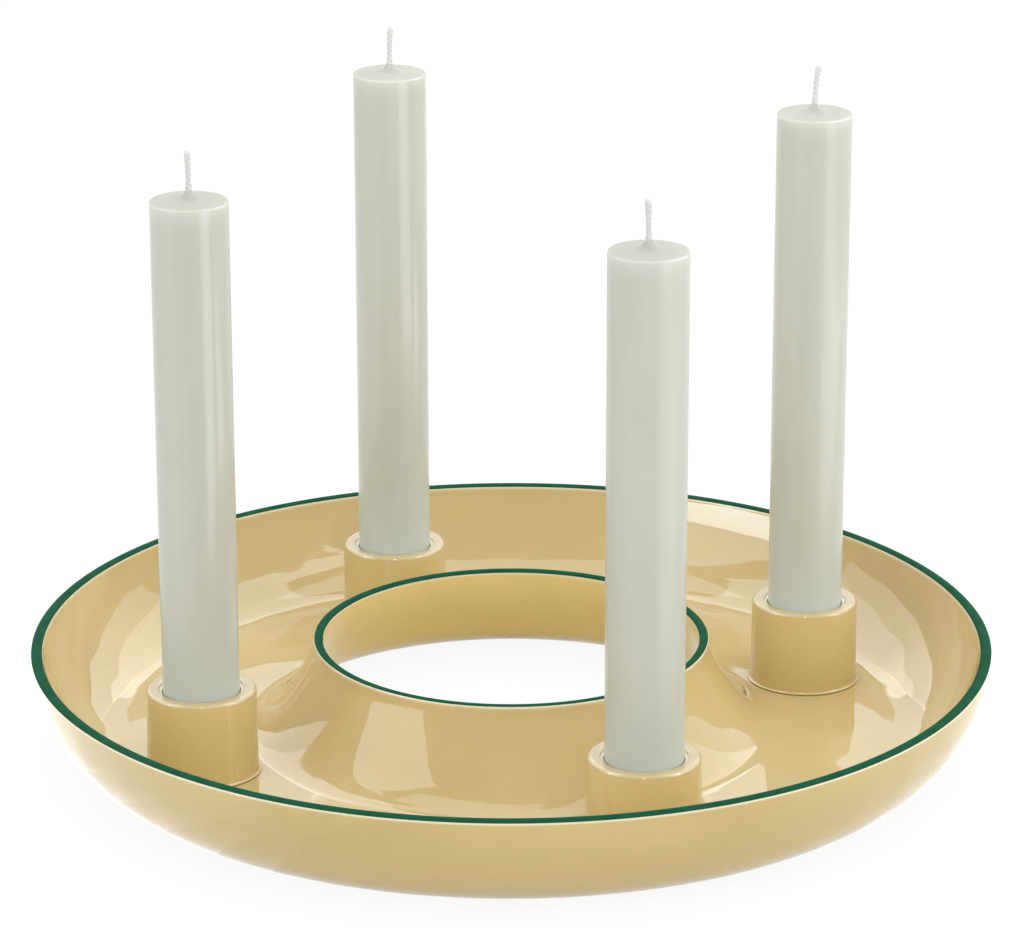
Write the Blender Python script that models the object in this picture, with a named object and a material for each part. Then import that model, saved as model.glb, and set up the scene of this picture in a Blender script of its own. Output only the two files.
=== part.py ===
# Advent wreath tray: a glazed ceramic ring dish with four candle cups and four candles.
# Metres, +Z up. The origin is on the surface that the dish stands on, at the centre of the ring.

import math

import bmesh
import bpy
from mathutils import Matrix, Vector

# Candles and wicks
CANDLE_RADIUS = 0.0110
FRONT_CANDLE_LENGTH = 0.1642  # the left and front candles
BACK_CANDLE_LENGTH = 0.1709  # the back and right candles
CANDLE_EDGE_ROUND = 0.0008
CANDLE_DOME = 0.0004  # rise of the candle's top towards the cone
CONE_RADIUS = 0.0032  # wax drawn up round the wick
CONE_HEIGHT = 0.0023
CONE_HOLLOW = 0.35  # the cone's side is hollow: halfway point, as a share of its width and height
WICK_RADIUS = 0.00085
WICK_TIP_RADIUS = 0.0005
WICK_TIP_LENGTH = 0.0009  # over which the wick narrows to its tip
WICK_SHOWING = 0.0112  # above the cone
WICK_CLEARANCE = 0.0003  # between the wick and the wax
RIGHT_WICK_LEAN = (0.0010, 0.0002)  # how far a wick's tip leans along X and Y
BACK_WICK_LEAN = (0.0004, 0.0)
LEFT_WICK_LEAN = (-0.0002, 0.0003)
FRONT_WICK_LEAN = (-0.0003, -0.0002)

# Candle cups
CUP_CIRCLE_RADIUS = 0.0955  # the cups' centres lie on this circle
CUP_TURN = math.radians(22.4)  # from +X to the right-hand cup, anticlockwise
CANDLE_CLEARANCE = 0.0010  # room around a candle in its cup
CUP_WALL = 0.00375  # at the rim
CUP_DRAFT = 0.00025  # the foot is this much wider than the rim, in radius
CUP_HEIGHT = 0.02475
CUP_FLOOR = 0.0035  # thickness of the cup's own bottom
CUP_SLIP = 0.0008  # the fillet of slip round the foot
CUP_OUTER_ROUND = 0.0011  # rounding of the rim's outer edge
CUP_BORE_ROUND = 0.0008  # rounding of the rim's inner edge

# Dish: a flat-bottomed trough bent round the hole, on one foot ring
TROUGH_DEPTH = 0.0274  # from the crest of the lips down to the floor
FLOOR_THICKNESS = 0.0042
FLOOR_MARGIN = 0.0003  # flat floor left around each cup's foot
OUTER_WALL_SPREAD = 0.0274  # from the floor's edge out to the outside of the rim
HOLE_WALL_SPREAD = 0.0233  # from the floor's edge in to the clear hole
OUTER_LIP_ROUND = 0.00135  # half the wall's thickness at the outer lip
HOLE_LIP_ROUND = 0.0009  # half the wall's thickness at the hole's lip
SKIN_OUTER_MARGIN = 0.0034  # the underside's flat part reaches this far past the floor's, outside
SKIN_HOLE_MARGIN = 0.0056  # and stops this far short of it on the hole's side
FOOT_HEIGHT = 0.0014  # the unglazed foot ring stands this far below the underside
FOOT_WIDTH = 0.020
FOOT_BEVEL = 0.0005

# Each curved wall leaves its lip, drops by the first share of its height while it leans in by the second
# share of its width, and runs into the flat bottom over the third share of its width
OUTER_WALL_SHAPE = (0.551, 0.035, 0.42)
HOLE_SKIN_SHAPE = (0.452, 0.0, 0.57)
HOLE_SIDE_SHAPE = (0.30, 0.03, 0.45)

SEAT_GAP = 0.0003  # between pieces that stand on each other

# Fineness
DISH_STEPS = 84
CUP_STEPS = 28
WICK_SIDES = 8
WICK_BENDS = 3
WALL_POINTS = 8  # points along each curved wall of the dish's section
LIP_POINTS = 4  # points over each lip
ROUND_STEPS = 3  # steps round each small edge
FILLET_STEPS = 2
SMOOTH_ANGLE = math.radians(40)  # edges sharper than this show as edges
MERGE_DISTANCE = 1e-6

# Sizes that follow from those above
CUP_BORE_RADIUS = CANDLE_RADIUS + CANDLE_CLEARANCE
CUP_RADIUS = CUP_BORE_RADIUS + CUP_WALL
CUP_FOOT_RADIUS = CUP_RADIUS + CUP_DRAFT
CUP_REACH = CUP_FOOT_RADIUS + CUP_SLIP + FLOOR_MARGIN
FLOOR_OUTER_RADIUS = CUP_CIRCLE_RADIUS + CUP_REACH
FLOOR_INNER_RADIUS = CUP_CIRCLE_RADIUS - CUP_REACH
RIM_RADIUS = FLOOR_OUTER_RADIUS + OUTER_WALL_SPREAD
HOLE_RADIUS = FLOOR_INNER_RADIUS - HOLE_WALL_SPREAD
FLOOR_HEIGHT = FOOT_HEIGHT + FLOOR_THICKNESS
RIM_HEIGHT = FLOOR_HEIGHT + TROUGH_DEPTH
CUP_BASE = FLOOR_HEIGHT + SEAT_GAP
CANDLE_BASE = CUP_BASE + CUP_FLOOR + SEAT_GAP

# Name, quarter turns from the right-hand cup, candle length and lean of the wick
CANDLE_PLACES = [
    ("right", 0, BACK_CANDLE_LENGTH, RIGHT_WICK_LEAN),
    ("back", 1, BACK_CANDLE_LENGTH, BACK_WICK_LEAN),
    ("left", 2, FRONT_CANDLE_LENGTH, LEFT_WICK_LEAN),
    ("front", 3, FRONT_CANDLE_LENGTH, FRONT_WICK_LEAN),
]


def clear_scene():
    for item in list(bpy.data.objects):
        bpy.data.objects.remove(item, do_unlink=True)


def make_material(name, colour, roughness, coat=0.0):
    material = bpy.data.materials.new(name)
    material.use_nodes = True
    material.diffuse_color = (*colour, 1.0)
    shader = material.node_tree.nodes["Principled BSDF"]
    shader.inputs["Base Color"].default_value = (*colour, 1.0)
    shader.inputs["Roughness"].default_value = roughness
    shader.inputs["Metallic"].default_value = 0.0
    shader.inputs["Coat Weight"].default_value = coat
    return material


def place(name, data, parent=None, location=(0.0, 0.0, 0.0)):
    item = bpy.data.objects.new(name, data)
    bpy.context.collection.objects.link(item)
    item.parent = parent
    item.location = location
    return item


def finish_mesh(name, bm, material):
    """Turns a bmesh into a smoothly shaded mesh."""
    bmesh.ops.recalc_face_normals(bm, faces=bm.faces)
    mesh = bpy.data.meshes.new(name)
    bm.to_mesh(mesh)
    bm.free()
    mesh.materials.append(material)
    mesh.shade_smooth()
    mesh.set_sharp_from_angle(angle=SMOOTH_ANGLE)
    return mesh


def arc(centre, radius, start, end, steps):
    """Points round a circle in the section, between two angles in degrees from +X, both ends included."""
    points = []
    for i in range(steps + 1):
        angle = math.radians(start + (end - start) * i / steps)
        points.append((centre[0] + radius * math.cos(angle), centre[1] + radius * math.sin(angle)))
    return points


def wall_curve(top, bottom, shape):
    """Points down a curved wall of the trough, from its lip to the edge of its flat bottom."""
    drop, lean, reach = shape
    height = top[1] - bottom[1]
    width = bottom[0] - top[0]
    a = Vector(top)
    b = Vector((top[0] + lean * width, top[1] - drop * height))
    c = Vector((bottom[0] - reach * width, bottom[1]))
    d = Vector(bottom)
    points = []
    for i in range(WALL_POINTS):
        t = i / (WALL_POINTS - 1)
        u = 1.0 - t
        point = u**3 * a + 3 * u * u * t * b + 3 * u * t * t * c + t**3 * d
        points.append((point.x, point.y))
    return points


def spin_section(name, section, steps, material, closed):
    """Turns a section, given as (radius, height) points, once round the Z axis."""
    bm = bmesh.new()
    verts = [bm.verts.new((radius, 0.0, height)) for radius, height in section]
    edges = [bm.edges.new(pair) for pair in zip(verts, verts[1:])]
    if closed:
        edges.append(bm.edges.new((verts[-1], verts[0])))
    profile = verts + edges
    bmesh.ops.spin(bm, geom=profile, axis=(0, 0, 1), cent=(0, 0, 0), steps=steps, angle=math.tau, use_merge=True)
    bmesh.ops.remove_doubles(bm, verts=bm.verts, dist=MERGE_DISTANCE)
    return finish_mesh(name, bm, material)


def dish_section():
    """The dish's section, once round: outer skin, foot, hole skin, hole lip, trough, outer lip."""
    outer_lip = (RIM_RADIUS - OUTER_LIP_ROUND, RIM_HEIGHT - OUTER_LIP_ROUND)
    hole_lip = (HOLE_RADIUS + HOLE_LIP_ROUND, RIM_HEIGHT - HOLE_LIP_ROUND)
    skin_outer = (FLOOR_OUTER_RADIUS + SKIN_OUTER_MARGIN, FOOT_HEIGHT)
    skin_inner = (FLOOR_INNER_RADIUS + SKIN_HOLE_MARGIN, FOOT_HEIGHT)
    floor_outer = (FLOOR_OUTER_RADIUS, FLOOR_HEIGHT)
    floor_inner = (FLOOR_INNER_RADIUS, FLOOR_HEIGHT)
    foot_outer = CUP_CIRCLE_RADIUS + FOOT_WIDTH / 2
    foot_inner = CUP_CIRCLE_RADIUS - FOOT_WIDTH / 2

    outer_skin = wall_curve((outer_lip[0] + OUTER_LIP_ROUND, outer_lip[1]), skin_outer, OUTER_WALL_SHAPE)
    foot = [
        (foot_outer, FOOT_HEIGHT),
        (foot_outer, FOOT_BEVEL),
        (foot_outer - FOOT_BEVEL, 0.0),
        (foot_inner + FOOT_BEVEL, 0.0),
        (foot_inner, FOOT_BEVEL),
        (foot_inner, FOOT_HEIGHT),
    ]
    hole_skin = wall_curve((hole_lip[0] - HOLE_LIP_ROUND, hole_lip[1]), skin_inner, HOLE_SKIN_SHAPE)
    over_hole_lip = arc(hole_lip, HOLE_LIP_ROUND, 180, 0, LIP_POINTS + 1)[1:-1]
    hole_side = wall_curve((hole_lip[0] + HOLE_LIP_ROUND, hole_lip[1]), floor_inner, HOLE_SIDE_SHAPE)
    outer_side = wall_curve((outer_lip[0] - OUTER_LIP_ROUND, outer_lip[1]), floor_outer, OUTER_WALL_SHAPE)
    over_outer_lip = arc(outer_lip, OUTER_LIP_ROUND, 180, 0, LIP_POINTS + 1)[1:-1]
    underside = outer_skin + foot + hole_skin[::-1]
    inside = over_hole_lip + hole_side + outer_side[::-1] + over_outer_lip
    return underside + inside


def paint_lip_lines(mesh, material):
    """Gives the faces over both lips the colour of the painted lines."""
    mesh.materials.append(material)
    lips = [
        (RIM_RADIUS - OUTER_LIP_ROUND, OUTER_LIP_ROUND),
        (HOLE_RADIUS + HOLE_LIP_ROUND, HOLE_LIP_ROUND),
    ]
    for face in mesh.polygons:
        radius = math.hypot(face.center.x, face.center.y)
        for lip_radius, lip_round in lips:
            over_lip = abs(radius - lip_radius) < lip_round
            if over_lip and face.center.z > RIM_HEIGHT - lip_round:
                face.material_index = 1


def cup_section():
    """A cup's section, from the middle of its underside out, up, over the rim and down the bore."""
    outer_round = min(CUP_OUTER_ROUND, 0.5 * CUP_WALL)
    bore_round = min(CUP_BORE_ROUND, 0.4 * CUP_WALL)
    rim_outer = (CUP_RADIUS - outer_round, CUP_HEIGHT - outer_round)
    rim_bore = (CUP_BORE_RADIUS + bore_round, CUP_HEIGHT - bore_round)
    slip_centre = (CUP_FOOT_RADIUS + CUP_SLIP, CUP_SLIP)
    foot = [(0.0, 0.0)] + arc(slip_centre, CUP_SLIP, 270, 180, FILLET_STEPS)
    outside = arc(rim_outer, outer_round, 0, 90, ROUND_STEPS)
    inside = arc(rim_bore, bore_round, 90, 180, ROUND_STEPS)
    socket = [(CUP_BORE_RADIUS, CUP_FLOOR), (0.0, CUP_FLOOR)]
    return foot + outside + inside + socket


def candle_section(length):
    """A candle's section, once round: underside, side, top and the cone, and back down the wick's bore."""
    bore = WICK_RADIUS + WICK_CLEARANCE
    edge = (CANDLE_RADIUS - CANDLE_EDGE_ROUND, length - CANDLE_EDGE_ROUND)
    cone_foot = length + CANDLE_DOME
    underside = [(bore, 0.0), (CANDLE_RADIUS, 0.0)]
    top_edge = arc(edge, CANDLE_EDGE_ROUND, 0, 90, ROUND_STEPS)
    cone = [
        (CONE_RADIUS, cone_foot),
        (bore + CONE_HOLLOW * (CONE_RADIUS - bore), cone_foot + CONE_HOLLOW * CONE_HEIGHT),
        (bore, cone_foot + CONE_HEIGHT),
    ]
    return underside + top_edge + cone


def wick_mesh(name, length, lean, material):
    """A wick, straight inside its candle, that leans away above the cone and is pinched at its tip."""
    cone_top = length + CANDLE_DOME + CONE_HEIGHT
    tip = cone_top + WICK_SHOWING
    tip_start = tip - WICK_TIP_LENGTH
    heights = [0.0]
    for i in range(WICK_BENDS):
        heights.append(cone_top + (tip_start - cone_top) * i / WICK_BENDS)
    heights += [tip_start, tip]
    bm = bmesh.new()
    rings = []
    for height in heights:
        radius = WICK_TIP_RADIUS if height == tip else WICK_RADIUS
        sideways = max(0.0, (height - cone_top) / WICK_SHOWING) ** 2
        ring = []
        for i in range(WICK_SIDES):
            angle = math.tau * i / WICK_SIDES
            x = lean[0] * sideways + radius * math.cos(angle)
            y = lean[1] * sideways + radius * math.sin(angle)
            ring.append(bm.verts.new((x, y, height)))
        rings.append(ring)
    bm.faces.new(rings[0])
    bm.faces.new(rings[-1])
    for low, high in zip(rings, rings[1:]):
        for i in range(WICK_SIDES):
            j = (i + 1) % WICK_SIDES
            bm.faces.new((low[i], low[j], high[j], high[i]))
    return finish_mesh(name, bm, material)


def build_dish(frame, glaze, green):
    mesh = spin_section("dish", dish_section(), DISH_STEPS, glaze, closed=True)
    paint_lip_lines(mesh, green)
    place("dish", mesh, frame)


def build_cup(name, spot, frame, glaze):
    mesh = spin_section("cup_" + name, cup_section(), CUP_STEPS, glaze, closed=False)
    place("cup_" + name, mesh, frame, (spot.x, spot.y, CUP_BASE))


def build_candle(name, spot, length, lean, frame, wax, cotton):
    """A candle with its wick, both under an empty that stands at the bottom of the candle."""
    candle_frame = place("candle_frame_" + name, None, frame, (spot.x, spot.y, CANDLE_BASE))
    candle = spin_section("candle_" + name, candle_section(length), CUP_STEPS, wax, closed=True)
    place("candle_" + name, candle, candle_frame)
    place("wick_" + name, wick_mesh("wick_" + name, length, lean, cotton), candle_frame)


def main():
    clear_scene()
    glaze = make_material("tan_glaze", (0.58, 0.42, 0.18), 0.12, coat=0.5)
    green = make_material("green_line", (0.022, 0.13, 0.068), 0.12, coat=0.5)
    wax = make_material("candle_wax", (0.60, 0.61, 0.52), 0.45)
    cotton = make_material("wick_cotton", (0.74, 0.74, 0.70), 0.9)
    frame = place("tray_frame", None)
    build_dish(frame, glaze, green)
    for name, quarter, length, lean in CANDLE_PLACES:
        turn = Matrix.Rotation(CUP_TURN + quarter * math.pi / 2, 3, "Z")
        spot = turn @ Vector((CUP_CIRCLE_RADIUS, 0.0, 0.0))
        build_cup(name, spot, frame, glaze)
        build_candle(name, spot, length, lean, frame, wax, cotton)


main()
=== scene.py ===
import math

import bpy
import numpy as np
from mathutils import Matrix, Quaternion, Vector


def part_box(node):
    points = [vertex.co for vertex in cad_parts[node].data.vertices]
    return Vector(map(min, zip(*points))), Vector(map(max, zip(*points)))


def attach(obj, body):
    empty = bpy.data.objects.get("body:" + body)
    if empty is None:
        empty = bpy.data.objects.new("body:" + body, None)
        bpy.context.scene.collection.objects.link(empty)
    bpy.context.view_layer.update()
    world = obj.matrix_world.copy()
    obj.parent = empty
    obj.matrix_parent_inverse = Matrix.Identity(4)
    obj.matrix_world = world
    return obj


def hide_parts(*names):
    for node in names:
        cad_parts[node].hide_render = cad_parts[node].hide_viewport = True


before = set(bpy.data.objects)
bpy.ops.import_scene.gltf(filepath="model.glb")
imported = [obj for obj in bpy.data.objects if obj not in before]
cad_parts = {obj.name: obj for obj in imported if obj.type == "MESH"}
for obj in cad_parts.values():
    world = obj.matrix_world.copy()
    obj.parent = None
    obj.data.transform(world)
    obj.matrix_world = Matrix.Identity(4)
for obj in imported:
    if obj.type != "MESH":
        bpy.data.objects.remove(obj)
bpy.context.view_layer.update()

NAMES = ["left", "back", "right", "front"]

# Sizes read from the frame, in metres; the seat gap lies between pieces that stand on each other
dish_low, dish_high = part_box("dish")
cup_low, cup_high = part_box("cup_left")
candle_low, candle_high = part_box("candle_left")
SEAT_GAP = 0.0003
RIM_RADIUS = dish_high.x
RIM_HEIGHT = dish_high.z
HOLE_RADIUS = min(math.hypot(v.co.x, v.co.y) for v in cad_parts["dish"].data.vertices)
FLOOR_HEIGHT = cup_low.z - SEAT_GAP
CUP_HEIGHT = cup_high.z - cup_low.z
CUP_FLOOR = candle_low.z - cup_low.z - SEAT_GAP
CANDLE_RADIUS = (candle_high.x - candle_low.x) / 2
CUP_CENTRE = (cup_low + cup_high) / 2
CUP_CIRCLE_RADIUS = math.hypot(CUP_CENTRE.x, CUP_CENTRE.y)

# The dish's section, in metres
OUTER_LIP_ROUND = 0.00172
HOLE_LIP_ROUND = 0.00138
LIP_FLATNESS = 0.6
OUTER_WALL_SPREAD = 0.0274
HOLE_WALL_SPREAD = 0.0233
SKIN_OUTER_MARGIN = 0.0034
SKIN_HOLE_MARGIN = 0.0056
OUTER_WALL_SHAPE = (0.551, 0.035, 0.42)
OUTER_SIDE_SHAPE = (0.551, 0.130, 0.42)
HOLE_SKIN_SHAPE = (0.452, 0.0, 0.57)
HOLE_SIDE_SHAPE = (0.30, 0.03, 0.45)
FOOT_HEIGHT = 0.0014
FOOT_WIDTH = 0.020
FOOT_ROUND = 0.0005
FLOOR_OUTER_RADIUS = RIM_RADIUS - OUTER_WALL_SPREAD
FLOOR_INNER_RADIUS = HOLE_RADIUS + HOLE_WALL_SPREAD
OUTER_WALL_ROWS = 36
HOLE_WALL_ROWS = 30
FLOOR_ROWS = 12
ROWS_IN_LINE = 14
ROWS_BESIDE_LINE = 3

# A cup's section, in metres; its socket narrows round the candle a little below the rim
CANDLE_CLEARANCE = 0.0010
CUP_WALL = 0.00375
CUP_DRAFT = 0.00025
CUP_SLIP = 0.0008
CUP_OUTER_ROUND = 0.0011
CUP_BORE_ROUND = 0.0008
CUP_BORE_RADIUS = CANDLE_RADIUS + CANDLE_CLEARANCE
CUP_SNUG_ROOM = 0.00025
CUP_SNUG_RADIUS = CANDLE_RADIUS + CUP_SNUG_ROOM
CUP_SNUG_DEPTH = 0.0010
CUP_SOCKET_ROUND = 0.0010
CUP_UNDERSIDE_RADII = (0.004, 0.010)
CUP_RADIUS = CUP_BORE_RADIUS + CUP_WALL
CUP_FOOT_RADIUS = CUP_RADIUS + CUP_DRAFT

# A candle and its wick, in metres
CANDLE_EDGE_ROUND = 0.0008
CANDLE_FOOT_ROUND = 0.0005
CANDLE_UNDERSIDE_RADII = (0.003, 0.007)
CANDLE_DOME = 0.0004
CONE_HEIGHT = 0.0023
WICK_SHOWING = 0.0112
WICK_TIP_LENGTH = 0.0009
WICK_FINE_FROM = 0.004
STRANDS = 3
STRAND_RADIUS = 0.00060
STRAND_SPREAD = 0.00014
STRAND_DEPTH = 0.00008
STRAND_TIP_SHARE = 0.15
WICK_FLARE = 0.30
BRAID_PITCH = 0.0046
WICK_LEANS = {
    "left": (-0.0002, 0.0003),
    "back": (0.0004, 0.0),
    "right": (0.0010, 0.0002),
    "front": (-0.0003, -0.0002),
}

# Rows across a candle's top and then up its cone, as radius and height above the edge, in metres
CANDLE_TOP = [
    (0.0085, 0.00010),
    (0.0065, 0.00020),
    (0.0048, 0.00030),
    (0.0036, CANDLE_DOME),
    (0.0028, CANDLE_DOME + 0.00025),
    (0.0022, CANDLE_DOME + 0.0006),
    (0.0017, CANDLE_DOME + 0.0011),
    (0.0013, CANDLE_DOME + 0.0017),
    (0.0010, CANDLE_DOME + 0.0021),
]

# Where the painted lines end on the rounded lips, in degrees from the side away from the hole
OUTER_LINE = (158.0, 22.0)
HOLE_LINE = (178.0, 36.0)
LINE_WOBBLE = 3.0

# The glaze where it thins towards the painted lines; the pale line right beside them, which is thin glaze
# and a painted highlight; and the glaze's gloss
THIN_GLAZE = (0.72, 0.62, 0.40)
PALE_GLAZE_AND_HIGHLIGHT = (0.70, 0.66, 0.50)
GLAZE_ROUGHNESS = 0.035

# Cards on the floor, in metres, and which way the lamps' backs point there and overhead
FLOOR_CARD_HEIGHT = 0.003
FLOOR_CARD_CENTRE = 0.1
DOWN = Vector((0.0, 0.0, -1.0))
UP = Vector((0.0, 0.0, 1.0))


def arc(centre, radius, start, end, steps):
    """Points round a circle in a section, between two angles in degrees, both ends included."""
    points = []
    for i in range(steps + 1):
        angle = math.radians(start + (end - start) * i / steps)
        points.append((centre[0] + radius * math.cos(angle), centre[1] + radius * math.sin(angle)))
    return points


def wall_curve(top, bottom, shape, steps):
    """Points down a curved wall, from its lip to the edge of the flat bottom."""
    drop, lean, reach = shape
    height = top[1] - bottom[1]
    width = bottom[0] - top[0]
    a = Vector(top)
    b = Vector((top[0] + lean * width, top[1] - drop * height))
    c = Vector((bottom[0] - reach * width, bottom[1]))
    d = Vector(bottom)
    points = []
    for i in range(steps + 1):
        t = i / steps
        u = 1.0 - t
        point = u**3 * a + 3 * u * u * t * b + 3 * u * t * t * c + t**3 * d
        points.append((point.x, point.y))
    return points


def line(start, end, steps):
    """Points along a straight line, without its end."""
    return [
        (start[0] + (end[0] - start[0]) * i / steps, start[1] + (end[1] - start[1]) * i / steps)
        for i in range(steps)
    ]


def mesh_of_rings(name, rings, closed, cap_start=None, cap_end=None):
    """A surface over rings of points, as an array (ring, step, 3). Caps are single end points."""
    count, steps, _ = rings.shape
    verts = [tuple(p) for p in rings.reshape(-1, 3)]
    faces = []
    pairs = [(i, i + 1) for i in range(count - 1)]
    if closed:
        pairs.append((count - 1, 0))
    for low, high in pairs:
        for j in range(steps):
            k = (j + 1) % steps
            faces.append((low * steps + j, low * steps + k, high * steps + k, high * steps + j))
    if cap_start is not None:
        verts.append(tuple(cap_start))
        tip = len(verts) - 1
        faces += [(tip, (j + 1) % steps, j) for j in range(steps)]
    if cap_end is not None:
        verts.append(tuple(cap_end))
        tip = len(verts) - 1
        base = (count - 1) * steps
        faces += [(tip, base + j, base + (j + 1) % steps) for j in range(steps)]
    return facing_out(name, verts, faces)


def facing_out(name, verts, faces):
    """A mesh of these faces, turned over where it would face into its body."""
    mesh = bpy.data.meshes.new(name)
    mesh.from_pydata(verts, [], faces)
    volume = 0.0
    for face in faces:
        first = Vector(verts[face[0]])
        for i in range(1, len(face) - 1):
            volume += first.dot(Vector(verts[face[i]]).cross(Vector(verts[face[i + 1]])))
    if volume < 0.0:
        mesh.flip_normals()
    mesh.update()
    return mesh


def finish_object(name, mesh, material, smooth_angle=50.0):
    """An object in the scene, shaded smooth except over edges sharper than an angle in degrees."""
    mesh.materials.append(material)
    mesh.shade_smooth()
    mesh.set_sharp_from_angle(angle=math.radians(smooth_angle))
    item = bpy.data.objects.new(name, mesh)
    bpy.context.collection.objects.link(item)
    return item


def lathe_rings(section, steps, centre=(0.0, 0.0, 0.0)):
    """Rings of points from a section of (radius, height) points, turned round a vertical axis."""
    section = np.array(section)
    turns = np.arange(steps) * math.tau / steps
    rings = np.empty((len(section), steps, 3))
    rings[:, :, 0] = centre[0] + section[:, :1] * np.cos(turns)
    rings[:, :, 1] = centre[1] + section[:, :1] * np.sin(turns)
    rings[:, :, 2] = centre[2] + section[:, 1:]
    return rings


def add_point_values(mesh, name, values):
    """One number for each point of a mesh, for its material to read."""
    layer = mesh.attributes.new(name, "FLOAT", "POINT")
    layer.data.foreach_set("value", np.asarray(values, dtype=np.float32))


def new_material(name):
    material = bpy.data.materials.new(name)
    material.use_nodes = True
    nodes = material.node_tree.nodes
    shader = nodes["Principled BSDF"]
    return material, material.node_tree, shader


def add(tree, kind, **settings):
    node = tree.nodes.new(kind)
    for key, value in settings.items():
        setattr(node, key, value)
    return node


def wire(tree, source, target):
    tree.links.new(source, target)


def lip_rows(centre, radius, line_ends):
    """Rows over a rounded lip, from 180 to 0 degrees, with whole rows at the ends of the painted line."""
    start, end = line_ends
    angles = list(np.linspace(180.0, start, ROWS_BESIDE_LINE + 1)[1:])
    angles += list(np.linspace(start, end, ROWS_IN_LINE + 1)[1:])
    angles += list(np.linspace(end, 0.0, ROWS_BESIDE_LINE + 1)[1:-1])
    return [("lip", centre, radius, angle) for angle in angles]


def dish_rows():
    """The dish's section, once round, as rows, and the rows where both painted lines and the hole start."""
    outer_lip = (RIM_RADIUS - OUTER_LIP_ROUND, RIM_HEIGHT - OUTER_LIP_ROUND * LIP_FLATNESS)
    hole_lip = (HOLE_RADIUS + HOLE_LIP_ROUND, RIM_HEIGHT - HOLE_LIP_ROUND * LIP_FLATNESS)
    skin_outer = (FLOOR_OUTER_RADIUS + SKIN_OUTER_MARGIN, FOOT_HEIGHT)
    skin_inner = (FLOOR_INNER_RADIUS + SKIN_HOLE_MARGIN, FOOT_HEIGHT)
    foot_outer = CUP_CIRCLE_RADIUS + FOOT_WIDTH / 2
    foot_inner = CUP_CIRCLE_RADIUS - FOOT_WIDTH / 2
    outer_skin = wall_curve((RIM_RADIUS, outer_lip[1]), skin_outer, OUTER_WALL_SHAPE, OUTER_WALL_ROWS)[:-1]
    foot = line(skin_outer, (foot_outer, FOOT_HEIGHT), 4)
    foot += line((foot_outer, FOOT_HEIGHT), (foot_outer, FOOT_ROUND), 2)
    foot += arc((foot_outer - FOOT_ROUND, FOOT_ROUND), FOOT_ROUND, 0, -90, 4)[:-1]
    foot += line((foot_outer - FOOT_ROUND, 0.0), (foot_inner + FOOT_ROUND, 0.0), 8)
    foot += arc((foot_inner + FOOT_ROUND, FOOT_ROUND), FOOT_ROUND, 270, 180, 4)[:-1]
    foot += line((foot_inner, FOOT_ROUND), (foot_inner, FOOT_HEIGHT), 2)
    foot += line((foot_inner, FOOT_HEIGHT), skin_inner, 3)
    hole_skin = wall_curve((HOLE_RADIUS, hole_lip[1]), skin_inner, HOLE_SKIN_SHAPE, HOLE_WALL_ROWS)[::-1]
    hole_top = (hole_lip[0] + HOLE_LIP_ROUND, hole_lip[1])
    floor_inner = (FLOOR_INNER_RADIUS, FLOOR_HEIGHT)
    floor_outer = (FLOOR_OUTER_RADIUS, FLOOR_HEIGHT)
    hole_side = wall_curve(hole_top, floor_inner, HOLE_SIDE_SHAPE, HOLE_WALL_ROWS)
    floor = line(floor_inner, floor_outer, FLOOR_ROWS)[1:]
    outer_top = (outer_lip[0] - OUTER_LIP_ROUND, outer_lip[1])
    outer_side = wall_curve(outer_top, floor_outer, OUTER_SIDE_SHAPE, OUTER_WALL_ROWS)[::-1]
    rows = [("plain", point) for point in outer_skin + foot + hole_skin]
    hole_row = len(outer_skin) + len(foot)
    line_rows = [len(rows) + ROWS_BESIDE_LINE - 1]
    rows += lip_rows(hole_lip, HOLE_LIP_ROUND, HOLE_LINE)
    rows += [("plain", point) for point in hole_side + floor + outer_side]
    line_rows.append(len(rows) + ROWS_BESIDE_LINE - 1)
    rows += lip_rows(outer_lip, OUTER_LIP_ROUND, OUTER_LINE)
    return rows, line_rows, hole_row


def distances_along(points, start):
    """Distance in mm along the closed section from one of its points, with a sign."""
    points = np.array(points)
    count = len(points)
    steps = np.linalg.norm(np.roll(points, -1, axis=0) - points, axis=1) * 1000.0
    ahead = np.zeros(count)
    total = 0.0
    for i in range(1, count):
        total += steps[(start + i - 1) % count]
        ahead[(start + i) % count] = total
    around = total + steps[(start - 1) % count]
    return np.where(ahead > around / 2, ahead - around, ahead)


def slow_wave(turn, seed, waves=((3, 0.5), (7, 0.3), (13, 0.2))):
    """A smooth wave of height 1 that closes on itself in one turn."""
    return sum(share * math.sin(count * turn + seed * count * 1.7) for count, share in waves)


def row_point(row, turn=None):
    """Radius and height of a row of the dish; at a turn, the rows of a lip wander with its brushed line."""
    if row[0] == "plain":
        return row[1]
    _, centre, lip_round, angle = row
    bent = math.radians(angle)
    if turn is not None:
        shift = LINE_WOBBLE * slow_wave(turn, 1.0 + centre[0] * 40.0 + angle * 0.01)
        bent = math.radians(angle + shift * math.sin(math.radians(angle)) ** 0.5)
    rise = lip_round * LIP_FLATNESS * math.sin(bent)
    return centre[0] + lip_round * math.cos(bent), centre[1] + rise


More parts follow.
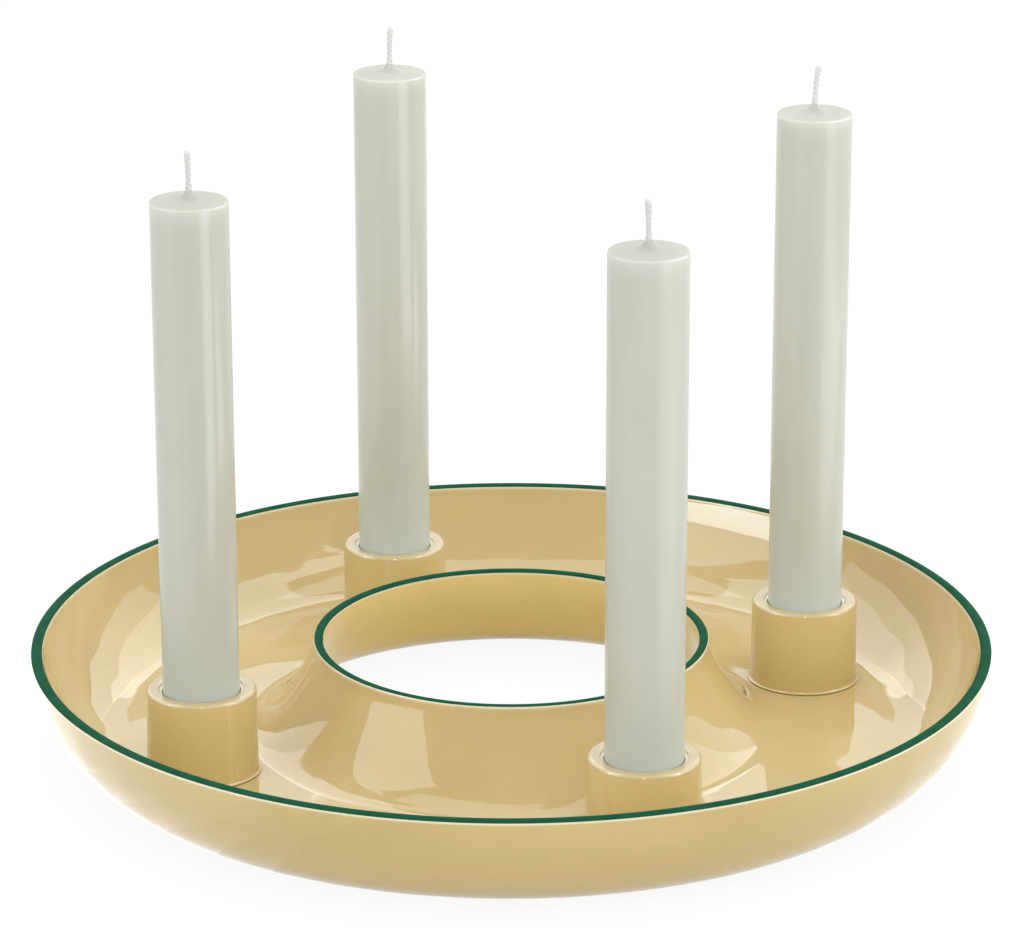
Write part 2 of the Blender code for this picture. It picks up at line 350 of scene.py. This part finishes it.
def build_dish(glaze, paint, hole_glaze, outer_glaze, steps=360):
    rows, line_rows, hole_row = dish_rows()
    rings = np.empty((len(rows), steps, 3))
    for i, row in enumerate(rows):
        for j in range(steps):
            turn = math.tau * j / steps
            radius, height = row_point(row, turn)
            rings[i, j] = (radius * math.cos(turn), radius * math.sin(turn), height)
    mesh = mesh_of_rings("dish_glazed", rings, closed=True)
    section = [row_point(row) for row in rows]
    line_edges = [row for first in line_rows for row in (first, first + ROWS_IN_LINE)]
    nearest = np.min([np.abs(distances_along(section, edge)) for edge in line_edges], axis=0)
    add_point_values(mesh, "from_line_mm", np.repeat(nearest, steps))
    add_point_values(mesh, "height_mm", rings[:, :, 2].reshape(-1) * 1000.0)
    item = finish_object("dish_glazed", mesh, glaze)
    for material in (paint, hole_glaze, outer_glaze):
        mesh.materials.append(material)
    painted, in_hole, outside = 1, 2, 3
    slots = np.zeros(len(mesh.polygons), dtype=np.int32)
    slots[hole_row * steps : line_rows[0] * steps] = in_hole
    slots[: hole_row * steps] = outside
    slots[(line_rows[1] + ROWS_IN_LINE) * steps :] = outside
    for first in line_rows:
        slots[first * steps : (first + ROWS_IN_LINE) * steps] = painted
    mesh.polygons.foreach_set("material_index", slots)
    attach(item, "tray")
    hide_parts("dish")
    return item


def cup_section():
    """A cup's section from the middle of its underside out, up, over the rim and down the bore."""
    rim_outer = (CUP_RADIUS - CUP_OUTER_ROUND, CUP_HEIGHT - CUP_OUTER_ROUND)
    rim_bore = (CUP_BORE_RADIUS + CUP_BORE_ROUND, CUP_HEIGHT - CUP_BORE_ROUND)
    slip_centre = (CUP_FOOT_RADIUS + CUP_SLIP, CUP_SLIP)
    foot = [(radius, 0.0) for radius in CUP_UNDERSIDE_RADII] + arc(slip_centre, CUP_SLIP, 270, 180, 8)
    side = line((CUP_FOOT_RADIUS, CUP_SLIP), (CUP_RADIUS, rim_outer[1]), 12)[1:]
    outside = arc(rim_outer, CUP_OUTER_ROUND, 0, 90, 10)
    inside = arc(rim_bore, CUP_BORE_ROUND, 90, 180, 8)
    ledge = (CUP_SNUG_RADIUS, CUP_HEIGHT - CUP_SNUG_DEPTH)
    socket_foot = (CUP_SNUG_RADIUS, CUP_FLOOR + CUP_SOCKET_ROUND)
    bore = line((CUP_BORE_RADIUS, rim_bore[1]), ledge, 4)[1:] + line(ledge, socket_foot, 8)
    floor = arc((CUP_SNUG_RADIUS - CUP_SOCKET_ROUND, socket_foot[1]), CUP_SOCKET_ROUND, 0, -90, 4)
    floor.append((CUP_UNDERSIDE_RADII[0], CUP_FLOOR))
    return foot + side + outside + inside + bore + floor


def in_socket(point, centre):
    """Whether a point of a cup's mesh belongs to its socket and not to its outside or underside."""
    inside = math.hypot(point.x - centre[0], point.y - centre[1]) < CUP_BORE_RADIUS + CUP_BORE_ROUND / 2
    return inside and point.z > centre[2] + CUP_FLOOR - CUP_SOCKET_ROUND / 2


def build_cup(name, material, steps=96):
    low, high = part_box("cup_" + name)
    centre = ((low.x + high.x) / 2, (low.y + high.y) / 2, low.z)
    rings = lathe_rings(cup_section(), steps, centre)
    socket_floor = (centre[0], centre[1], low.z + CUP_FLOOR)
    mesh = mesh_of_rings("cup_" + name + "_glazed", rings, False, centre, socket_floor)
    add_point_values(mesh, "height_mm", [(v.co.z - low.z) * 1000.0 for v in mesh.vertices])
    add_point_values(mesh, "in_bore", [float(in_socket(v.co, centre)) for v in mesh.vertices])
    item = finish_object("cup_" + name + "_glazed", mesh, material)
    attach(item, "tray")
    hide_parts("cup_" + name)
    return item


def candle_section(length):
    """A candle's section from the middle of its underside out, up, over its edge and up its cone."""
    foot = (CANDLE_RADIUS - CANDLE_FOOT_ROUND, CANDLE_FOOT_ROUND)
    edge = (CANDLE_RADIUS - CANDLE_EDGE_ROUND, length - CANDLE_EDGE_ROUND)
    section = [(radius, 0.0) for radius in CANDLE_UNDERSIDE_RADII]
    section += arc(foot, CANDLE_FOOT_ROUND, -90, 0, 4)
    section += line((CANDLE_RADIUS, foot[1]), (CANDLE_RADIUS, edge[1]), 48)[1:]
    section += arc(edge, CANDLE_EDGE_ROUND, 0, 84, 8)
    section += [(radius, length + rise) for radius, rise in CANDLE_TOP]
    return section


def build_candle(name, material, top_material, steps=96):
    low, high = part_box("candle_" + name)
    centre = ((low.x + high.x) / 2, (low.y + high.y) / 2, low.z)
    length = high.z - low.z - CANDLE_DOME - CONE_HEIGHT
    section = candle_section(length)
    rings = lathe_rings(section, steps, centre)
    cone_tip = (centre[0], centre[1], high.z)
    mesh = mesh_of_rings("candle_" + name + "_wax", rings, False, centre, cone_tip)
    add_point_values(mesh, "from_top_mm", [(low.z + length - v.co.z) * 1000.0 for v in mesh.vertices])
    add_point_values(mesh, "height_mm", [(v.co.z - low.z) * 1000.0 for v in mesh.vertices])
    item = finish_object("candle_" + name + "_wax", mesh, material)
    mesh.materials.append(top_material)
    first_top_row = sum(1 for point in section if point[1] < length - CANDLE_EDGE_ROUND / 3)
    on_top = np.zeros(len(mesh.polygons), dtype=np.int32)
    on_top[first_top_row * steps : (len(section) - 1) * steps] = 1
    on_top[-steps:] = 1
    mesh.polygons.foreach_set("material_index", on_top)
    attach(item, name + "_candle")
    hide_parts("candle_" + name)
    return item


def wick_strand(centre, lean, low, heights, foot, phase, sides=10):
    """Rings of points up one strand, which weaves, leans above the candle and thins out at its tip."""
    rings = np.empty((len(heights), sides, 3))
    for i, h in enumerate(heights):
        rise = max(0.0, (h - foot) / WICK_SHOWING)
        turn = math.tau * (h / BRAID_PITCH + phase)
        near_cone = max(0.0, 1.0 - rise / 0.25)
        near_tip = max(0.0, (rise - 0.35) / 0.65)
        flare = 1.0 + WICK_FLARE * (near_cone + near_tip)
        x = centre[0] + lean[0] * rise**2 + STRAND_SPREAD * math.sin(turn) * flare
        y = centre[1] + lean[1] * rise**2 + STRAND_DEPTH * math.sin(2.0 * turn) * flare
        pinch = math.sqrt(max(0.0, min(1.0, (heights[-1] - h) / WICK_TIP_LENGTH)))
        radius = STRAND_RADIUS * (STRAND_TIP_SHARE + (1.0 - STRAND_TIP_SHARE) * pinch) * flare
        for j in range(sides):
            a = math.tau * j / sides
            rings[i, j] = (x + radius * math.cos(a), y + radius * math.sin(a), low + h)
    return rings


def build_wick(name, material):
    """Plaited strands, held together with wax, which lean away above the candle's cone."""
    low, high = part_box("candle_" + name)
    wick_low, wick_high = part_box("wick_" + name)
    centre = ((low.x + high.x) / 2, (low.y + high.y) / 2)
    foot = high.z - wick_low.z
    top = wick_high.z - wick_low.z
    inside = np.linspace(0.0, foot - WICK_FINE_FROM, 40)
    outside = np.linspace(foot - WICK_FINE_FROM, top, 90)[1:]
    heights = np.concatenate([inside, outside])
    verts = []
    faces = []
    for strand in range(STRANDS):
        rings = wick_strand(centre, WICK_LEANS[name], wick_low.z, heights, foot, strand / STRANDS)
        count, sides, _ = rings.shape
        first = len(verts)
        verts += [tuple(point) for point in rings.reshape(-1, 3)]
        for i in range(count - 1):
            for j in range(sides):
                k = (j + 1) % sides
                a = first + i * sides
                b = a + sides
                faces.append((a + j, a + k, b + k, b + j))
        faces.append(tuple(first + j for j in range(sides))[::-1])
        faces.append(tuple(first + (count - 1) * sides + j for j in range(sides)))
    mesh = facing_out("wick_" + name + "_cotton", verts, faces)
    item = finish_object("wick_" + name + "_cotton", mesh, material, 60.0)
    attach(item, name + "_candle")
    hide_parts("wick_" + name)
    return item


def object_place(tree):
    return add(tree, "ShaderNodeTexCoord").outputs["Object"]


def noise_of(tree, place, scale, detail=2.0, roughness=0.5, stretch=None):
    """A noise value; scale is in waves a metre, stretch squeezes or widens it on each axis."""
    if stretch is not None:
        mapping = add(tree, "ShaderNodeMapping")
        mapping.inputs["Scale"].default_value = stretch
        wire(tree, place, mapping.inputs["Vector"])
        place = mapping.outputs["Vector"]
    texture = add(tree, "ShaderNodeTexNoise")
    texture.inputs["Scale"].default_value = scale
    texture.inputs["Detail"].default_value = detail
    texture.inputs["Roughness"].default_value = roughness
    wire(tree, place, texture.inputs["Vector"])
    return texture.outputs["Fac"]


def ranged(tree, value, low, high, to_low=0.0, to_high=1.0):
    """A value moved smoothly from one range to another."""
    node = add(tree, "ShaderNodeMapRange", interpolation_type="SMOOTHSTEP")
    node.inputs["From Min"].default_value = low
    node.inputs["From Max"].default_value = high
    node.inputs["To Min"].default_value = to_low
    node.inputs["To Max"].default_value = to_high
    wire(tree, value, node.inputs["Value"])
    return node.outputs["Result"]


def value_of(tree, name):
    return add(tree, "ShaderNodeAttribute", attribute_name=name).outputs["Fac"]


def mixed(tree, share, first, second):
    """Two colours mixed; each is a colour output or a plain colour."""
    node = add(tree, "ShaderNodeMix", data_type="RGBA")
    wire(tree, share, node.inputs[0])
    for socket, colour in ((node.inputs[6], first), (node.inputs[7], second)):
        if isinstance(colour, tuple):
            socket.default_value = (*colour, 1.0)
        else:
            wire(tree, colour, socket)
    return node.outputs[2]


def scaled_by(tree, colour, value):
    """A colour made lighter or darker by a value."""
    node = add(tree, "ShaderNodeVectorMath", operation="SCALE")
    wire(tree, colour, node.inputs[0])
    wire(tree, value, node.inputs["Scale"])
    return node.outputs["Vector"]


def bumped(tree, height, distance, before=None):
    """A normal bent by a height value, over so many metres, and by the bump before it."""
    node = add(tree, "ShaderNodeBump")
    node.inputs["Strength"].default_value = 1.0
    node.inputs["Distance"].default_value = distance
    wire(tree, height, node.inputs["Height"])
    if before is not None:
        wire(tree, before, node.inputs["Normal"])
    return node.outputs["Normal"]


def glaze_shader(name):
    """A clear, very glossy glaze, with its even surface a little wavy; colour is added by the caller."""
    material, tree, shader = new_material(name)
    shader.inputs["Roughness"].default_value = GLAZE_ROUGHNESS
    shader.inputs["IOR"].default_value = 1.55
    shader.inputs["Specular Tint"].default_value = (0.80, 0.91, 1.0, 1.0)
    place = object_place(tree)
    waves = bumped(tree, noise_of(tree, place, 34.0, 1.0), 0.0009)
    peel = bumped(tree, noise_of(tree, place, 420.0, 2.0), 0.000004, waves)
    wire(tree, peel, shader.inputs["Normal"])
    return material, tree, shader, place


def glaze_tone(tree, place, low, high):
    """The glaze's own colour, cloudy on two scales."""
    cloud = noise_of(tree, place, 26.0, 3.0, 0.55)
    tone = mixed(tree, ranged(tree, cloud, 0.3, 0.7), low, high)
    grain = noise_of(tree, place, 1400.0, 2.0)
    return scaled_by(tree, tone, ranged(tree, grain, 0.25, 0.75, 0.975, 1.025))


def dish_glaze_material():
    material, tree, shader, place = glaze_shader("tan_glaze")
    tone = glaze_tone(tree, place, (0.545, 0.418, 0.190), (0.585, 0.452, 0.212))
    edge = value_of(tree, "from_line_mm")
    thin = mixed(tree, ranged(tree, edge, 1.6, 0.3, 0.0, 0.35), tone, THIN_GLAZE)
    # Right beside the lines a pale line: thin glaze and a painted highlight
    pale = mixed(tree, ranged(tree, edge, 0.80, 0.30, 0.0, 0.9), thin, PALE_GLAZE_AND_HIGHLIGHT)
    wire(tree, pale, shader.inputs["Base Color"])
    return material


def wall_glaze_material(name, low, high, foot, specular):
    """The same glaze on the ring's outer face and down its hole, with weaker reflections than in the
    trough; its colour is painted lighter down the hole and darker on the outer face, and lighter towards
    the foot, as painted light and painted shade.
    """
    material, tree, shader, place = glaze_shader(name)
    shader.inputs["Specular IOR Level"].default_value = specular
    tone = glaze_tone(tree, place, low, high)
    # Painted light: lighter towards the foot, where the wall gets less light
    tone = mixed(tree, ranged(tree, value_of(tree, "height_mm"), 24.0, 3.0), tone, foot)
    edge = value_of(tree, "from_line_mm")
    # Right beside the lines a pale line: thin glaze and a painted highlight
    pale = mixed(tree, ranged(tree, edge, 0.80, 0.30, 0.0, 0.9), tone, PALE_GLAZE_AND_HIGHLIGHT)
    wire(tree, pale, shader.inputs["Base Color"])
    return material


def line_paint_material():
    material, tree, shader = new_material("green_line_paint")
    shader.inputs["Roughness"].default_value = 0.5
    shader.inputs["IOR"].default_value = 1.45
    shader.inputs["Specular IOR Level"].default_value = 0.01
    place = object_place(tree)
    brushed = noise_of(tree, place, 160.0, 3.0, 0.6)
    colour = mixed(tree, ranged(tree, brushed, 0.3, 0.7), (0.007, 0.066, 0.032), (0.011, 0.082, 0.041))
    wire(tree, colour, shader.inputs["Base Color"])
    wire(tree, bumped(tree, brushed, 0.00001), shader.inputs["Normal"])
    return material


def cup_glaze_material():
    material, tree, shader, place = glaze_shader("tan_glaze_on_cups_painted_light_and_shade")
    # The cups' glaze is painted a little lighter than the dish's: painted light
    tone = glaze_tone(tree, place, (0.575, 0.447, 0.192), (0.615, 0.482, 0.214))
    height = value_of(tree, "height_mm")
    deep = mixed(tree, ranged(tree, height, 14.0, 2.0, 0.0, 0.35), tone, (0.61, 0.470, 0.190))
    # The rim's top is painted darker and less saturated: the glaze breaking there, and painted shade
    shaded_rim = mixed(tree, ranged(tree, height, 23.4, 24.0, 0.0, 0.75), deep, (0.52, 0.41, 0.225))
    in_bore = value_of(tree, "in_bore")
    # Painted light: the socket is painted pale cream, so the narrow gap round each candle shows light in
    # place of its shade
    wire(tree, mixed(tree, in_bore, shaded_rim, (0.84, 0.76, 0.58)), shader.inputs["Base Color"])
    wire(tree, ranged(tree, in_bore, 0.2, 0.9, GLAZE_ROUGHNESS, 0.5), shader.inputs["Roughness"])
    return material


def wax_material(name, roughness, specular, painted_top_tone):
    """Pale wax that light passes into a little, cloudy, with soft dips and fine pores, a cooler cast
    towards its foot as painted light, and a tone near its top edge that is painted light on the sides and
    painted shade on the top faces.
    """
    material, tree, shader = new_material(name)
    shader.inputs["Roughness"].default_value = roughness
    shader.inputs["IOR"].default_value = 1.44
    shader.inputs["Specular IOR Level"].default_value = specular
    shader.inputs["Subsurface Weight"].default_value = 0.7
    shader.inputs["Subsurface Radius"].default_value = (1.0, 0.95, 0.8)
    shader.inputs["Subsurface Scale"].default_value = 0.004
    place = object_place(tree)
    bands = noise_of(tree, place, 220.0, 2.0, 0.5, (1.0, 1.0, 0.04))
    cloud = noise_of(tree, place, 70.0, 3.0, 0.6, (1.0, 1.0, 0.3))
    tone = mixed(tree, ranged(tree, cloud, 0.3, 0.7), (0.495, 0.504, 0.438), (0.523, 0.533, 0.465))
    tone = scaled_by(tree, tone, ranged(tree, bands, 0.25, 0.75, 0.985, 1.015))
    # Painted light: the wax takes a cooler cast below about 48 mm up
    low = value_of(tree, "height_mm")
    tone = mixed(tree, ranged(tree, low, 48.0, 24.0, 0.0, 0.8), tone, (0.510, 0.555, 0.525))
    # Within 7 mm of the top edge the tone turns to the painted top tone: painted light on the sides,
    # painted shade on the top faces
    top = value_of(tree, "from_top_mm")
    tone = mixed(tree, ranged(tree, top, 7.0, 0.0, 0.0, 0.45), tone, painted_top_tone)
    wire(tree, tone, shader.inputs["Base Color"])
    pores = bumped(tree, noise_of(tree, place, 1500.0, 3.0, 0.6), 0.00001)
    dips = bumped(tree, noise_of(tree, place, 90.0, 2.0, 0.5, (1.0, 1.0, 0.35)), 0.00008, pores)
    wire(tree, dips, shader.inputs["Normal"])
    return material


def cotton_material():
    material, tree, shader = new_material("waxed_cotton")
    shader.inputs["Roughness"].default_value = 0.6
    shader.inputs["IOR"].default_value = 1.44
    shader.inputs["Specular IOR Level"].default_value = 0.15
    place = object_place(tree)
    fibres = noise_of(tree, place, 1800.0, 1.0, 0.5, (1.0, 1.0, 0.15))
    colour = mixed(tree, ranged(tree, fibres, 0.3, 0.7), (0.585, 0.59, 0.575), (0.61, 0.615, 0.60))
    wire(tree, colour, shader.inputs["Base Color"])
    wire(tree, bumped(tree, fibres, 0.000001), shader.inputs["Normal"])
    return material


def build_object():
    cup_glaze = cup_glaze_material()
    # The sides are painted lighter near the top edge and the top faces darker: painted light and painted
    # shade
    wax = wax_material("ivory_wax", 0.20, 0.5, (0.62, 0.63, 0.59))
    shaded_wax_top = wax_material("ivory_wax_shaded_on_top", 0.75, 0.05, (0.36, 0.365, 0.335))
    cotton = cotton_material()
    # The hole's copy of the glaze is painted lighter and the outer face's darker, each lighter towards its
    # foot: painted light and painted shade
    in_hole = wall_glaze_material(
        "tan_glaze_in_hole_painted_light",
        low=(0.67, 0.500, 0.188),
        high=(0.72, 0.540, 0.208),
        foot=(0.92, 0.69, 0.212),
        specular=0.06,
    )
    outside = wall_glaze_material(
        "tan_glaze_outside_painted_shade_and_light",
        low=(0.515, 0.388, 0.158),
        high=(0.550, 0.418, 0.176),
        foot=(0.61, 0.445, 0.165),
        specular=0.35,
    )
    glazed = [build_dish(dish_glaze_material(), line_paint_material(), in_hole, outside)]
    waxed = []
    for name in NAMES:
        glazed.append(build_cup(name, cup_glaze))
        waxed.append(build_candle(name, wax, shaded_wax_top))
        waxed.append(build_wick(name, cotton))
    return glazed, waxed


def floor_material():
    """A floor that lights the object as a pale grey one and shows nearly white, with soft shadows on it."""
    material = bpy.data.materials.new("studio_floor")
    material.use_nodes = True
    tree = material.node_tree
    tree.nodes.clear()
    output = add(tree, "ShaderNodeOutputMaterial")
    rays = add(tree, "ShaderNodeLightPath")
    seen = add(tree, "ShaderNodeMath", operation="MAXIMUM")
    wire(tree, rays.outputs["Is Camera Ray"], seen.inputs[0])
    wire(tree, rays.outputs["Is Glossy Ray"], seen.inputs[1])
    seen_too = add(tree, "ShaderNodeMath", operation="MAXIMUM")
    wire(tree, seen.outputs["Value"], seen_too.inputs[0])
    wire(tree, rays.outputs["Is Transmission Ray"], seen_too.inputs[1])
    plain = add(tree, "ShaderNodeBsdfDiffuse")
    plain.inputs["Color"].default_value = (0.72, 0.72, 0.72, 1.0)
    shaded = add(tree, "ShaderNodeBsdfDiffuse")
    shaded.inputs["Color"].default_value = (0.09, 0.09, 0.09, 1.0)
    lift = add(tree, "ShaderNodeEmission")
    lift.inputs["Color"].default_value = (1.0, 1.0, 1.0, 1.0)
    lift.inputs["Strength"].default_value = 0.92
    pale = add(tree, "ShaderNodeAddShader")
    wire(tree, shaded.outputs["BSDF"], pale.inputs[0])
    wire(tree, lift.outputs["Emission"], pale.inputs[1])
    either = add(tree, "ShaderNodeMixShader")
    wire(tree, seen_too.outputs["Value"], either.inputs["Fac"])
    wire(tree, plain.outputs["BSDF"], either.inputs[1])
    wire(tree, pale.outputs["Shader"], either.inputs[2])
    wire(tree, either.outputs["Shader"], output.inputs["Surface"])
    return material


def build_floor():
    size = 6.0
    mesh = bpy.data.meshes.new("studio_floor")
    corners = [(-size, -size, 0.0), (size, -size, 0.0), (size, size, 0.0), (-size, size, 0.0)]
    mesh.from_pydata(corners, [], [(0, 1, 2, 3)])
    mesh.materials.append(floor_material())
    item = bpy.data.objects.new("studio_floor", mesh)
    bpy.context.collection.objects.link(item)


def add_lamp(name, width, height, radiance, place, back):
    """A soft rectangular lamp, whose back points one way and whose face is so bright."""
    lamp = bpy.data.lights.new(name, "AREA")
    lamp.shape = "RECTANGLE"
    lamp.size = width
    lamp.size_y = height
    lamp.energy = math.pi * width * height * radiance
    item = bpy.data.objects.new(name, lamp)
    item.location = place
    item.rotation_mode = "QUATERNION"
    item.rotation_quaternion = back.to_track_quat("Z", "Y")
    item.visible_camera = False
    bpy.context.collection.objects.link(item)
    return item


def add_panel(name, azimuths, elevations, radiance, distance=2.2):
    """An upright panel that faces the ring. Azimuth 0 is behind the camera and 90 on the right."""
    middle = math.radians(sum(azimuths) / 2)
    half = math.radians((azimuths[1] - azimuths[0]) / 2)
    low, high = (distance * math.tan(math.radians(e)) for e in elevations)
    away = Vector((math.sin(middle), -math.cos(middle), 0.0))
    place = away * distance + Vector((0.0, 0.0, (low + high) / 2))
    return add_lamp(name, 2.0 * distance * math.tan(half), high - low, radiance, place, away)


def floor_cards(name, side, start, radiance, strips=8):
    """Strips side by side on the floor, brighter away from the ring, so that their light has no edge."""
    width = 0.016
    depth = 1.2
    cards = []
    for i in range(strips):
        place = Vector((side * (start + width * (i + 0.5)), FLOOR_CARD_CENTRE, FLOOR_CARD_HEIGHT))
        share = radiance * (i + 1) / (strips + 1)
        cards.append(add_lamp("card_floor_%s_%d" % (name, i + 1), width, depth, share, place, DOWN))
    wide = 0.6
    place = Vector((side * (start + width * strips + wide / 2), FLOOR_CARD_CENTRE, FLOOR_CARD_HEIGHT))
    cards.append(add_lamp("card_floor_%s_wide" % name, wide, depth, radiance, place, DOWN))
    return cards


def candle_card(name, candle, azimuth, radiance):
    """A card on the floor that only one candle mirrors, in its side right of an azimuth seen from it."""
    start = 0.16
    length = 1.6
    width = 0.35
    along = Vector((math.sin(math.radians(azimuth)), -math.cos(math.radians(azimuth)), 0.0))
    across = Vector((-along.y, along.x, 0.0))
    low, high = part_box("candle_" + candle)
    foot = Vector(((low.x + high.x) / 2, (low.y + high.y) / 2, FLOOR_CARD_HEIGHT))
    place = foot + along * (start + length / 2) + across * (width / 2)
    card = add_lamp(name, width, length, radiance, place, DOWN)
    turn = Quaternion((0.0, 0.0, 1.0), math.atan2(across.y, across.x))
    card.rotation_quaternion = turn @ Quaternion((1.0, 0.0, 0.0), math.pi)
    return card


def lit_group(name, items):
    """A collection that names the pieces a lamp is meant for."""
    group = bpy.data.collections.new(name)
    for item in items:
        group.objects.link(item)
    return group


def light_panels():
    """Large panels that light everything evenly and don't show in gloss."""
    panels = [
        add_panel("light_left", (-110.0, -50.0), (3.0, 58.0), 0.76),
        add_panel("light_right", (58.0, 116.0), (3.0, 58.0), 1.62),
        add_panel("light_back", (125.0, 235.0), (3.0, 60.0), 1.00),
        add_panel("light_front", (-50.0, 50.0), (3.0, 62.0), 1.13, 2.5),
        add_lamp("light_top", 3.4, 2.6, 1.62, Vector((0.0, 0.2, 3.6)), UP),
    ]
    for item in panels:
        item.visible_glossy = False


def glaze_cards():
    """Cards all round that the glaze mirrors, low ones darker than high ones."""
    cards = [
        add_panel("card_left", (-97.0, -47.0), (2.0, 58.0), 2.55),
        add_panel("card_right", (56.0, 98.0), (2.0, 58.0), 3.1),
        add_panel("card_back_low", (-192.0, -165.0), (13.0, 26.0), 1.2),
        add_panel("card_back_high", (-192.0, -165.0), (26.0, 62.0), 3.0),
        add_panel("card_back_left_low", (-165.0, -97.0), (13.0, 26.0), 1.5),
        add_panel("card_back_left_high", (-165.0, -97.0), (26.0, 62.0), 2.6),
        add_panel("card_back_right_low", (98.0, 168.0), (13.0, 26.0), 1.3),
        add_panel("card_back_right_high", (98.0, 168.0), (26.0, 62.0), 2.6),
        add_lamp("card_top", 3.4, 2.4, 1.8, Vector((0.0, 0.3, 3.5)), UP),
    ]
    cards += floor_cards("left", -1.0, 0.065, 1.9)
    cards += floor_cards("right", 1.0, 0.085, 0.8)
    return cards


def near_card():
    """A small card above the trough that the dish's upper back right wall mirrors."""
    place = Vector((-0.100, 0.017, 0.064))
    away = Vector((-0.85, -0.53, 0.0))
    card = add_lamp("card_dish_near", 0.076, 0.068, 2.3, place, away)
    card.data.spread = math.radians(100.0)
    return card


def cup_cards():
    """Narrow bright cards that make the glints on the cups' rims."""
    return [
        add_panel("card_cup_left", (-83.0, -77.0), (30.0, 64.0), 24.0, 1.6),
        add_panel("card_cup_right", (77.0, 83.0), (30.0, 64.0), 24.0, 1.6),
        add_panel("card_cup_front", (-3.0, 2.0), (34.0, 64.0), 14.0, 1.6),
    ]


def wax_cards():
    """Cards beside the ring that the candles' edges and tops mirror."""
    return [
        add_panel("card_wax_left", (-112.0, -47.0), (2.0, 58.0), 1.2, 1.9),
        add_panel("card_wax_right", (54.0, 126.0), (2.0, 58.0), 2.4, 1.9),
    ]


def show_in(name, cards, pieces):
    """Cards that give no diffuse light and show in these pieces alone."""
    group = lit_group(name, pieces)
    for item in cards:
        item.visible_diffuse = False
        item.light_linking.receiver_collection = group


def build_lamps(glazed, waxed):
    """Panels light the ring evenly, and cards in the same places show in its glaze and wax."""
    light_panels()
    show_in("glazed_pieces", glaze_cards(), glazed)
    show_in("glazed_dish", [near_card()], glazed[:1])
    show_in("glazed_cups", cup_cards(), glazed[1:])
    show_in("waxed_pieces", wax_cards(), waxed)
    azimuths = (36.0, 30.0, 34.0, 34.0)
    radiances = (3.3, 3.3, 2.3, 1.6)
    for name, candle, azimuth, radiance in zip(NAMES, waxed[::2], azimuths, radiances):
        card = candle_card("card_side_" + name, name, azimuth, radiance)
        show_in(candle.name + "_alone", [card], [candle])
    candle_light = add_panel("light_candles", (-30.0, 30.0), (20.0, 60.0), 0.55, 2.4)
    candle_light.visible_glossy = False
    candle_light.light_linking.receiver_collection = lit_group("back_candles", waxed[2:6])


def build_world():
    world = bpy.data.worlds.new("studio")
    bpy.context.scene.world = world
    world.use_nodes = True
    background = world.node_tree.nodes["Background"]
    background.inputs["Color"].default_value = (1.0, 1.0, 1.0, 1.0)
    background.inputs["Strength"].default_value = 0.45


def build_camera():
    camera = bpy.data.cameras.new("camera")
    camera.sensor_fit = "HORIZONTAL"
    camera.sensor_width = 36.0
    camera.lens = 152.18
    camera.clip_start = 0.05
    camera.clip_end = 50.0
    item = bpy.data.objects.new("camera", camera)
    item.location = (0.00026, -1.18737, 0.478394)
    item.rotation_mode = "QUATERNION"
    pitch = 0.31969
    yaw = 0.00005
    forward = Vector((yaw, math.cos(pitch), -math.sin(pitch)))
    roll = Quaternion((0.0, 0.0, 1.0), -0.00149)
    item.rotation_quaternion = forward.to_track_quat("-Z", "Y") @ roll
    bpy.context.collection.objects.link(item)
    bpy.context.scene.camera = item


glazed_items, waxed_items = build_object()
build_floor()
build_lamps(glazed_items, waxed_items)
build_world()
build_camera()
bpy.context.scene.view_settings.view_transform = "Standard"
